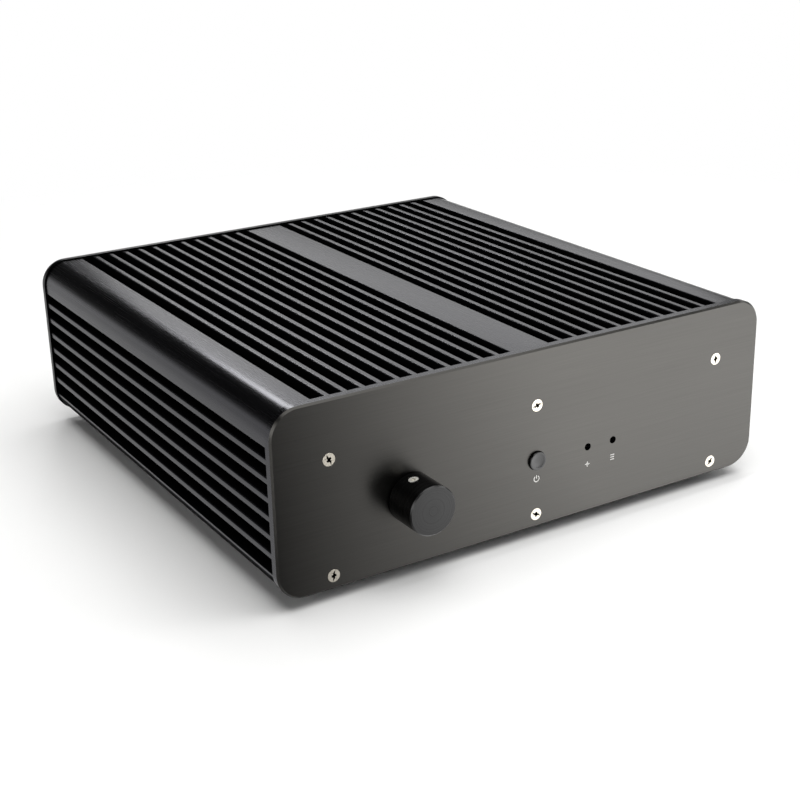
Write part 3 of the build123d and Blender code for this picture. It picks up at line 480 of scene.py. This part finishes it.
def studio_floor():
    """Pale matt paint on the studio floor, with barely visible roller marks.

    Far from the case it shows as plain white, as the sweep behind a photographed object does. Near the
    case it is only lit, so that it keeps the object's shadow.
    """
    material, tree, shader = new_material("pale studio paint", IOR=1.4, Roughness=0.9)
    roller = stretched_noise(tree, (120 * MM,) * 3)
    connect(tree, shader, patterned(tree, roller, settings().colours.floor, tint=(0.995, 1.005)))
    rays = add_node(tree, "ShaderNodeLightPath").outputs
    seen = rays["Is Camera Ray"]
    for kind in ("Is Glossy Ray", "Is Transmission Ray"):
        seen = add_node(tree, "ShaderNodeMath", {0: seen, 1: rays[kind]}, operation="ADD").outputs[0]
    place = add_node(tree, "ShaderNodeTexCoord").outputs["Object"]
    distance = add_node(
        tree, "ShaderNodeVectorMath", {0: place}, operation="LENGTH").outputs["Value"]
    far = add_node(
        tree, "ShaderNodeMapRange", {"Value": distance, **limits(*SHADOW_REACH)}).outputs[0]
    plain = add_node(tree, "ShaderNodeMath", {0: seen, 1: far}, operation="MULTIPLY").outputs[0]
    white = add_node(tree, "ShaderNodeEmission", {"Color": (1, 1, 1, 1), "Strength": 1.0}).outputs[0]
    mixed = add_node(tree, "ShaderNodeMixShader", {0: plain, 1: shader.outputs[0], 2: white})
    tree.links.new(mixed.outputs[0], tree.nodes["Material Output"].inputs["Surface"])
    return material


def graded_card():
    """Light card that fades out to the left, and glows more with the distance from the case.

    The front panel mirrors it, and so shades evenly from its right end to its left.
    """
    material, tree = new_material("graded glowing card")[:2]
    slant = -FRONT_CARD_RUN[0] / FRONT_CARD_RUN[1]
    place = add_node(tree, "ShaderNodeTexCoord").outputs["Object"]
    across = add_node(tree, "ShaderNodeVectorMath", {
        0: place, 1: (1, slant, 0)}, operation="DOT_PRODUCT").outputs["Value"]
    dark, full = (FRONT_CARD_Y * slant + x for x in FRONT_CARD_FADE)
    fading = add_node(tree, "ShaderNodeMapRange", {"Value": across, **limits(dark, full)}).outputs[0]
    away = add_node(tree, "ShaderNodeSeparateXYZ", {0: place}).outputs[1]
    growing = add_node(tree, "ShaderNodeMapRange", {"Value": away, **limits(
        FRONT_CARD_Y - FRONT_CARD_GROWTH_RUN, FRONT_CARD_Y,
        FRONT_CARD_GLOW * FRONT_CARD_GROWTH, FRONT_CARD_GLOW)}).outputs[0]
    glow = add_node(tree, "ShaderNodeMath", {0: fading, 1: growing}, operation="MULTIPLY")
    emission = add_node(tree, "ShaderNodeEmission", {"Strength": glow.outputs[0]})
    tree.links.new(emission.outputs[0], tree.nodes["Material Output"].inputs["Surface"])
    return material


def even_card():
    """Light card with an even glow, which the left side mirrors."""
    return new_material(
        "even glowing card", Base_Color=(0, 0, 0, 1), Emission_Color=(1, 1, 1, 1),
        Emission_Strength=LEFT_CARD_GLOW)[0]


def body_of(node):
    """Name of the moving body that a CAD node rides on."""
    groups = frame["record"]["behaviour"]["bodies"]
    return next(body for body, nodes in groups.items() if node in nodes)


def verts_of(geom):
    """The points among what an operator returns."""
    return [part for part in geom if isinstance(part, bmesh.types.BMVert)]


def shade_round(bm):
    """Smooth shading, with the edges kept crisp where two faces meet at a real angle."""
    for face in bm.faces:
        face.smooth = True
    for edge in bm.edges:
        edge.smooth = edge.calc_face_angle(0) < SMOOTH_BELOW


def add_object(name, data):
    """An object in the scene that holds the mesh, lamp or camera."""
    made = bpy.data.objects.new(name, data)
    bpy.context.scene.collection.objects.link(made)
    return made


def mesh_object(bm, name, material):
    """An object in the scene, made of a finished bmesh."""
    mesh = bpy.data.meshes.new(name)
    bm.to_mesh(mesh)
    bm.free()
    mesh.materials.append(material)
    return add_object(name, mesh)


def finish_piece(bm, name, node, material, stands_for=True):
    """Makes an object of the mesh, riding with the node and, as a rule, standing for it."""
    piece = mesh_object(bm, name, material)
    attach(piece, body_of(node))
    if stands_for:
        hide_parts(node)
    return piece


def dress(node, material):
    """Stands a merged, smoothly shaded copy of the CAD node in its place."""
    bm = bmesh.new()
    bm.from_mesh(frame["nodes"][node].data)
    bmesh.ops.remove_doubles(bm, verts=bm.verts, dist=MERGE)
    shade_round(bm)
    return finish_piece(bm, f"{node}_finished", node, material)


def paint(node, material):
    """Gives a CAD node that stays as it is a new material."""
    frame["nodes"][node].data.materials.clear()
    frame["nodes"][node].data.materials.append(material)


def screw_mesh(length):
    """Countersunk screw with a tapered cross recess, its head's top at the origin and its end at -Z."""
    details = settings().details
    bm = bmesh.new()
    bmesh.ops.create_circle(bm, radius=HEAD_R - HEAD_BEVEL, segments=SCREW_SEGMENTS)
    rim_edges = list(bm.edges)
    arm, tip = details.recess_w / 2, details.recess_span / 2
    cross = []
    for quarter in range(4):
        turn = Matrix.Rotation(quarter * pi / 2, 3, "Z")
        cross += [
            bm.verts.new(turn @ Vector(corner))
            for corner in ((tip, -arm, 0), (tip, arm, 0), (arm, arm, 0))]
    cross_face = bm.faces.new(cross)
    bmesh.ops.bridge_loops(bm, edges=rim_edges + list(cross_face.edges))
    floor = verts_of(bmesh.ops.extrude_face_region(bm, geom=[cross_face])["geom"])
    bmesh.ops.delete(bm, geom=[cross_face], context="FACES_ONLY")
    bmesh.ops.scale(bm, vec=(RECESS_FLOOR, RECESS_FLOOR, 1), verts=floor)
    bmesh.ops.translate(bm, vec=(0, 0, -details.recess_depth), verts=floor)
    edges, radius, level = rim_edges, HEAD_R - HEAD_BEVEL, 0.0
    for step_r, step_z in (
            (HEAD_R, -HEAD_BEVEL), (SHANK_R, SHANK_R - HEAD_R - HEAD_BEVEL),
            (SHANK_R, SHANK_R / 2 - length), (SHANK_R / 2, -length)):
        grown = bmesh.ops.extrude_edge_only(bm, edges=edges)["geom"]
        verts = verts_of(grown)
        edges = [part for part in grown if isinstance(part, bmesh.types.BMEdge)
                 and all(vert in verts for vert in part.verts)]
        bmesh.ops.scale(bm, vec=(step_r / radius, step_r / radius, 1), verts=verts)
        bmesh.ops.translate(bm, vec=(0, 0, step_z - level), verts=verts)
        radius, level = step_r, step_z
    bmesh.ops.contextual_create(bm, geom=edges)
    bmesh.ops.recalc_face_normals(bm, faces=bm.faces)
    return bm


def repeat_screw(node, material, screw, places, tilt):
    """Copies one screw to every place, tilted that way, as one piece that stands for the node."""
    one = bpy.data.meshes.new(f"{node}_one")
    screw.to_mesh(one)
    screw.free()
    bm = bmesh.new()
    for number, place in enumerate(places):
        bm.from_mesh(one)
        turn = Matrix.Rotation(number * SCREW_TURN, 4, "Z")
        bmesh.ops.transform(
            bm, matrix=Matrix.Translation(place) @ tilt @ turn, verts=bm.verts[-len(one.vertices):])
    bpy.data.meshes.remove(one)
    shade_round(bm)
    return finish_piece(bm, f"{node}_finished", node, material)


class MINIPC_OT_extrusion(bpy.types.Operator):
    """Brushed and anodised skin for the finned extrusion"""
    bl_idname = "minipc.extrusion"
    bl_label = "Finned Extrusion"

    def execute(self, context):
        dress("body_extrusion", anodised_extrusion())
        return {"FINISHED"}


class MINIPC_OT_panels(bpy.types.Operator):
    """Brushed front and rear panels, and the powder-coated base plate"""
    bl_idname = "minipc.panels"
    bl_label = "Panels and Base"

    def execute(self, context):
        colours = settings().colours
        front = dress("front_panel", brushed_plate("black anodised brushed plate", colours.panel))
        front.data.materials.append(milled_edge())
        for face in front.data.polygons:
            if abs(face.normal.y) < MILLED_NORMAL:
                face.material_index = 1
        dress("rear_panel", brushed_plate("deep black anodised plate", colours.rear))
        dress("base_plate", powder_coat())
        return {"FINISHED"}


class MINIPC_OT_screws(bpy.types.Operator):
    """Nickel-plated screws; those of the front and rear panels have tapered cross recesses"""
    bl_idname = "minipc.screws"
    bl_label = "Screws"

    def execute(self, context):
        nickel = plated_metal("bright nickel plate", settings().colours.nickel, roughness=0.34)
        for node, columns, tilt in (
                ("front_panel_screws", (-1, 0, 1), Matrix.Rotation(pi / 2, 4, "X")),
                ("rear_panel_screws", (-1, 1), Matrix.Rotation(-pi / 2, 4, "X"))):
            low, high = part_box(node)
            face = low.y if node.startswith("front") else high.y
            places = [
                (column * (high.x - HEAD_R), face, z)
                for column in columns for z in (low.z + HEAD_R, high.z - HEAD_R)]
            repeat_screw(node, nickel, screw_mesh(high.y - low.y), places, tilt)
        for node in ("foot_screws", "base_screws", "cpu_block_screws", "pipe_clamp_screws",
                     "control_board_screws"):
            dress(node, nickel)
        return {"FINISHED"}


class MINIPC_OT_knob(bpy.types.Operator):
    """Turned volume knob with its grub screw, and the encoder that it turns"""
    bl_idname = "minipc.knob"
    bl_label = "Volume Knob"

    def execute(self, context):
        colours = settings().colours
        dress("volume_knob", turned_aluminium(
            "black anodised turned knob", colours.knob, "volume_knob", ring_w=0.3 * MM,
            roughness=0.3, depth=0.002 * MM))
        dress("knob_grub_screw", plated_metal("satin plated grub screw", colours.grub, roughness=0.6))
        dull = plated_metal("dull nickel plate", colours.dull_nickel, roughness=0.35)
        for node in ("encoder_shaft", "encoder_bush", "encoder_washer", "encoder_nut"):
            dress(node, dull)
        dress("encoder_housing", moulded_plastic("black moulded nylon", colours.nylon, roughness=0.5))
        return {"FINISHED"}


class MINIPC_OT_button(bpy.types.Operator):
    """Dished power button, its plunger and its switch"""
    bl_idname = "minipc.button"
    bl_label = "Power Button"

    def execute(self, context):
        colours = settings().colours
        dress("power_button", turned_aluminium(
            "black anodised polished button", colours.button, "power_button", ring_w=0.25 * MM,
            roughness=0.22, depth=0.004 * MM))
        nylon = moulded_plastic("black switch nylon", colours.switch, roughness=0.45)
        dress("switch_plunger", nylon)
        paint("power_switch", nylon)
        return {"FINISHED"}


class MINIPC_OT_indicators(bpy.types.Operator):
    """Two smoked indicator lenses on their tinned leads"""
    bl_idname = "minipc.indicators"
    bl_label = "Indicators"

    def execute(self, context):
        lens = epoxy_lens()
        dress("power_indicator", lens)
        dress("drive_indicator", lens)
        dress("indicator_leads", plated_metal("tinned wire", settings().colours.tin, roughness=0.3))
        return {"FINISHED"}


class MINIPC_OT_signs(bpy.types.Operator):
    """Three small printed signs under the button and the indicators"""
    bl_idname = "minipc.signs"
    bl_label = "Printed Signs"

    def ring(self, bm, centre, radius, gap=0.0):
        """A ring in the panel's plane, open at the top by the angle gap."""
        start = Matrix.Rotation(gap / 2, 3, "Y")
        radii = (radius, radius - settings().details.sign_line)
        ends = [bm.verts.new(centre + start @ Vector((0, 0, r))) for r in radii]
        bmesh.ops.spin(
            bm, geom=[*ends, bm.edges.new(ends)], cent=centre, axis=(0, 1, 0), angle=2 * pi - gap,
            steps=RING_STEPS, use_merge=gap == 0, dvec=(0, 0, 0))

    def bar(self, bm, centre, width, height):
        """An upright or level bar in the panel's plane."""
        turn = Matrix.Translation(centre) @ Matrix.Rotation(pi / 2, 4, "X")
        bmesh.ops.create_grid(
            bm, x_segments=1, y_segments=1, size=0.5,
            matrix=turn @ Matrix.Diagonal((width, height, 1, 1)))

    def power_sign(self, bm, centre, radius, line):
        """A ring that is open at the top, with a bar that stands in its gap."""
        self.ring(bm, centre, radius, POWER_GAP)
        self.bar(bm, centre + Vector((0, 0, radius * POWER_BAR_UP)), line, radius * POWER_BAR_L)

    def lamp_sign(self, bm, centre, radius, line):
        """A small ring with four rays."""
        self.ring(bm, centre, radius * LAMP_R)
        for out in (-radius * RAY_OUT, radius * RAY_OUT):
            self.bar(bm, centre + Vector((out, 0, 0)), radius * RAY_L, line)
            self.bar(bm, centre + Vector((0, 0, out)), line, radius * RAY_L)

    def drive_sign(self, bm, centre, radius, line):
        """Three level bars, one above the other."""
        for row in (-1, 0, 1):
            self.bar(bm, centre + Vector((0, 0, row * radius * ROW_PITCH)), radius * ROW_W, line)

    def execute(self, context):
        details = settings().details
        ink = printed_ink()
        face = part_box("front_panel")[0].y
        level = middle("power_button").z - details.sign_drop
        for name, node, print_sign in (
                ("power_sign", "power_button", self.power_sign),
                ("lamp_sign", "power_indicator", self.lamp_sign),
                ("drive_sign", "drive_indicator", self.drive_sign)):
            bm = bmesh.new()
            centre = Vector((middle(node).x, face, level))
            print_sign(bm, centre, details.sign_r, details.sign_line)
            bmesh.ops.recalc_face_normals(bm, faces=bm.faces)
            grown = bmesh.ops.extrude_face_region(bm, geom=list(bm.faces))["geom"]
            bmesh.ops.translate(bm, vec=(0, -details.ink_t, 0), verts=verts_of(grown))
            bmesh.ops.recalc_face_normals(bm, faces=bm.faces)
            finish_piece(bm, name, "front_panel", ink, stands_for=False)
        return {"FINISHED"}


class MINIPC_OT_feet(bpy.types.Operator):
    """Four moulded rubber feet"""
    bl_idname = "minipc.feet"
    bl_label = "Feet"

    def execute(self, context):
        rubber = moulded_plastic(
            "black moulded rubber", settings().colours.rubber, roughness=0.8, grit=0.4 * MM)
        for end in ("front", "rear"):
            for side in ("left", "right"):
                dress(f"foot_{end}_{side}", rubber)
        return {"FINISHED"}


class MINIPC_OT_inlet(bpy.types.Operator):
    """Power inlet in the rear panel, with its nut"""
    bl_idname = "minipc.inlet"
    bl_label = "Power Inlet"

    def execute(self, context):
        colours = settings().colours
        dress("power_inlet", moulded_plastic("black moulded inlet", colours.inlet, roughness=0.35))
        dress("power_inlet_nut", plated_metal(
            "plated inlet nut", colours.dull_nickel, roughness=0.35))
        return {"FINISHED"}


class MINIPC_OT_boards(bpy.types.Operator):
    """The two small boards, their sockets and the brass standoffs"""
    bl_idname = "minipc.boards"
    bl_label = "Small Boards"

    def execute(self, context):
        colours = settings().colours
        mask = solder_mask()
        dress("encoder_board", mask)
        dress("control_board", mask)
        dress("board_sockets", moulded_plastic("ivory moulded socket", colours.socket, roughness=0.4))
        brass = milled_metal("turned brass", colours.brass, stroke=(0.4 * MM, 0.4 * MM, 0.15 * MM))
        dress("board_standoffs", brass)
        dress("control_board_studs", brass)
        return {"FINISHED"}


class MINIPC_OT_cooler(bpy.types.Operator):
    """Processor block, heat pipes, the plates under the roof and the block behind the front panel"""
    bl_idname = "minipc.cooler"
    bl_label = "Cooler"

    def execute(self, context):
        colours = settings().colours
        milled = milled_metal(
            "bare milled aluminium", colours.aluminium, stroke=(0.3 * MM, 8 * MM, 0.3 * MM))
        for node in ("centre_block", "cold_plate", "pipe_cap", "roof_spreader", "pipe_clamp"):
            dress(node, milled)
        dress("cpu_bracket", milled_metal(
            "zinc-plated sheet", colours.zinc, stroke=(6 * MM,) * 3, roughness=0.38))
        drawn = milled_metal(
            "bare drawn copper", colours.copper, stroke=(0.3 * MM, 20 * MM, 0.3 * MM), roughness=0.28)
        for number in range(1, PIPE_COUNT + 1):
            dress(f"heat_pipe_{number}", drawn)
        return {"FINISHED"}


class MINIPC_OT_stage(bpy.types.Operator):
    """Pale floor, soft lamps, glowing cards, surroundings and the camera"""
    bl_idname = "minipc.stage"
    bl_label = "Stage"

    def floor(self):
        """A wide round floor, level with the feet's undersides."""
        bm = bmesh.new()
        bmesh.ops.create_circle(bm, cap_ends=True, radius=FLOOR_R, segments=FLOOR_SEGMENTS)
        floor = mesh_object(bm, "floor", studio_floor())
        floor.location.z = cad_box[0].z

    def surroundings(self):
        """A dark studio, white towards the horizon, and plain white where the camera looks past it."""
        world = bpy.data.worlds.new("studio")
        world.use_nodes = True
        tree = world.node_tree
        direction = add_node(tree, "ShaderNodeTexCoord").outputs["Generated"]
        height = add_node(tree, "ShaderNodeSeparateXYZ", {0: direction}).outputs[2]
        gradient = add_node(tree, "ShaderNodeMapRange", {
            "Value": height, **limits(*HORIZON, HORIZON_LIGHT, STUDIO_LIGHT)}).outputs[0]
        seen = add_node(tree, "ShaderNodeLightPath").outputs["Is Camera Ray"]
        brightness = add_node(tree, "ShaderNodeMath", {0: gradient, 1: seen}, operation="MAXIMUM")
        tree.links.new(brightness.outputs[0], tree.nodes["Background"].inputs["Color"])
        bpy.context.scene.world = world

    def lamp(self, name, place, aim, width, height, power):
        """A rectangular soft lamp that points at a place."""
        light = bpy.data.lights.new(name, "AREA")
        light.shape = "RECTANGLE"
        light.size = width
        light.size_y = height
        light.energy = power
        lamp = add_object(name, light)
        lamp.location = place
        lamp.rotation_euler = (Vector(aim) - Vector(place)).to_track_quat("-Z", "Y").to_euler()

    def light_card(self, name, ends, run, material):
        """A glowing card on the floor, from the line between two ends. Only polished metal shows it."""
        bm = bmesh.new()
        near_edge = bm.edges.new([bm.verts.new((*end, CARD_Z)) for end in ends])
        grown = bmesh.ops.extrude_edge_only(bm, edges=[near_edge])["geom"]
        bmesh.ops.translate(bm, vec=run, verts=verts_of(grown))
        card = mesh_object(bm, name, material)
        for ray in ("camera", "diffuse", "shadow", "transmission"):
            setattr(card, f"visible_{ray}", False)

    def camera(self):
        """The camera, which the scene is rendered from."""
        view = settings().view
        camera = add_object("camera", bpy.data.cameras.new("camera"))
        camera.data.lens = view.lens
        camera.data.sensor_width = SENSOR_W
        camera.location = view.place
        camera.rotation_euler = Euler(view.turn)
        bpy.context.scene.camera = camera

    def execute(self, context):
        self.floor()
        self.surroundings()
        for lamp in LAMPS:
            self.lamp(*lamp)
        front_ends = [(x, FRONT_CARD_Y) for x in FRONT_CARD_X]
        self.light_card("front_card", front_ends, FRONT_CARD_RUN, graded_card())
        left_ends = [(LEFT_CARD_X, y) for y in LEFT_CARD_Y]
        self.light_card("left_card", left_ends, LEFT_CARD_RUN, even_card())
        self.camera()
        context.scene.view_settings.view_transform = "Standard"
        return {"FINISHED"}


OPERATORS = (
    MINIPC_OT_stage, MINIPC_OT_extrusion, MINIPC_OT_panels, MINIPC_OT_screws, MINIPC_OT_knob,
    MINIPC_OT_button, MINIPC_OT_indicators, MINIPC_OT_signs, MINIPC_OT_feet, MINIPC_OT_inlet,
    MINIPC_OT_boards, MINIPC_OT_cooler,
)


class MINIPC_PT_sidebar(bpy.types.Panel):
    """The case's operators and settings"""
    bl_label = "Mini PC Case"
    bl_idname = "MINIPC_PT_sidebar"
    bl_space_type = "VIEW_3D"
    bl_region_type = "UI"
    bl_category = "Mini PC"

    def draw(self, context):
        for group in (settings().colours, settings().details, settings().view):
            box = self.layout.box()
            for name in group.__annotations__:
                box.prop(group, name)
        for operator in OPERATORS:
            self.layout.operator(operator.bl_idname)


CLASSES = (CaseColours, CaseDetails, CaseView, CaseSettings, *OPERATORS, MINIPC_PT_sidebar)


def register():
    for entry in CLASSES:
        bpy.utils.register_class(entry)
    bpy.types.Scene.mini_pc_case = PointerProperty(type=CaseSettings)


def unregister():
    del bpy.types.Scene.mini_pc_case
    for entry in reversed(CLASSES):
        bpy.utils.unregister_class(entry)


def main():
    register()
    for operator in OPERATORS:
        group, name = operator.bl_idname.split(".")
        getattr(getattr(bpy.ops, group), name)()


if __name__ == "__main__":
    main()
